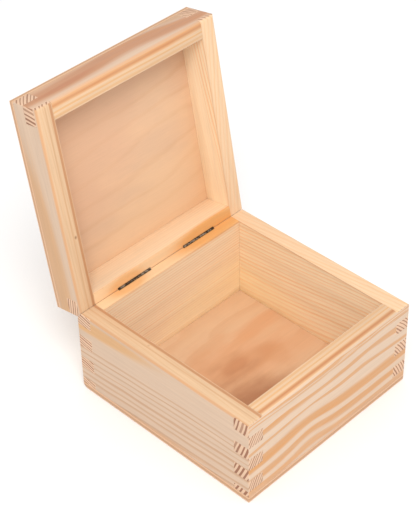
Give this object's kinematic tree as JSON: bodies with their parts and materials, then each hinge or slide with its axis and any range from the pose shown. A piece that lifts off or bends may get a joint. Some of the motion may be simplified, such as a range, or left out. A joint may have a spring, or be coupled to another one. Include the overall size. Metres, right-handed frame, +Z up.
{
  "type": "hinged wooden box",
  "caption": "Small square unfinished pine box with finger-jointed corners, plywood floor and top, and a lid that hinges open at the back on slot hinges.",
  "frame": {"origin": "centre of the underside of the floor panel", "axes": "+Z up; +X to the right along the front wall; +Y to the back, where the hinges are. The lid stands open at rest, leaning back past upright."},
  "size_m": [0.16, 0.2086, 0.2234],
  "materials": {
    "pine_front_wall": "bare planed pine, bold wavy cream and orange figure",
    "pine_back_wall": "bare planed pine, fine straight grain",
    "pine_left_wall": "bare planed pine, pale with fine parallel lines",
    "pine_right_wall": "bare planed pine, even curved grain lines",
    "plywood_floor": "bare sanded plywood, smooth with a faint darker figure",
    "pine_front_rail": "bare planed pine, pinkish brown streaks",
    "pine_back_rail": "bare planed pine, fine straight grain",
    "pine_left_rail": "bare planed pine, pale with an orange streak",
    "pine_right_rail": "bare planed pine, fine straight grain",
    "plywood_top": "bare sanded plywood, smooth with faint diagonal figure",
    "hinge_steel": "plain rolled steel, dulled"
  },
  "bodies": {
    "base": {"base_front_wall": "pine_front_wall", "base_back_wall": "pine_back_wall", "base_left_wall": "pine_left_wall", "base_right_wall": "pine_right_wall", "base_floor_panel": "plywood_floor", "hinge_base_leaf_left": "hinge_steel", "hinge_pin_left": "hinge_steel", "hinge_base_leaf_right": "hinge_steel", "hinge_pin_right": "hinge_steel"},
    "lid": {"lid_front_rail": "pine_front_rail", "lid_back_rail": "pine_back_rail", "lid_left_rail": "pine_left_rail", "lid_right_rail": "pine_right_rail", "lid_top_panel": "plywood_top", "hinge_lid_leaf_left": "hinge_steel", "hinge_lid_leaf_right": "hinge_steel"}
  },
  "joints": [
    {"name": "lid_hinge", "type": "hinge", "parent": "base", "child": "lid", "pos_m": [0, 0.075, 0.0712], "axis": [1, 0, 0], "range_deg": [0, 100]}
  ]
}
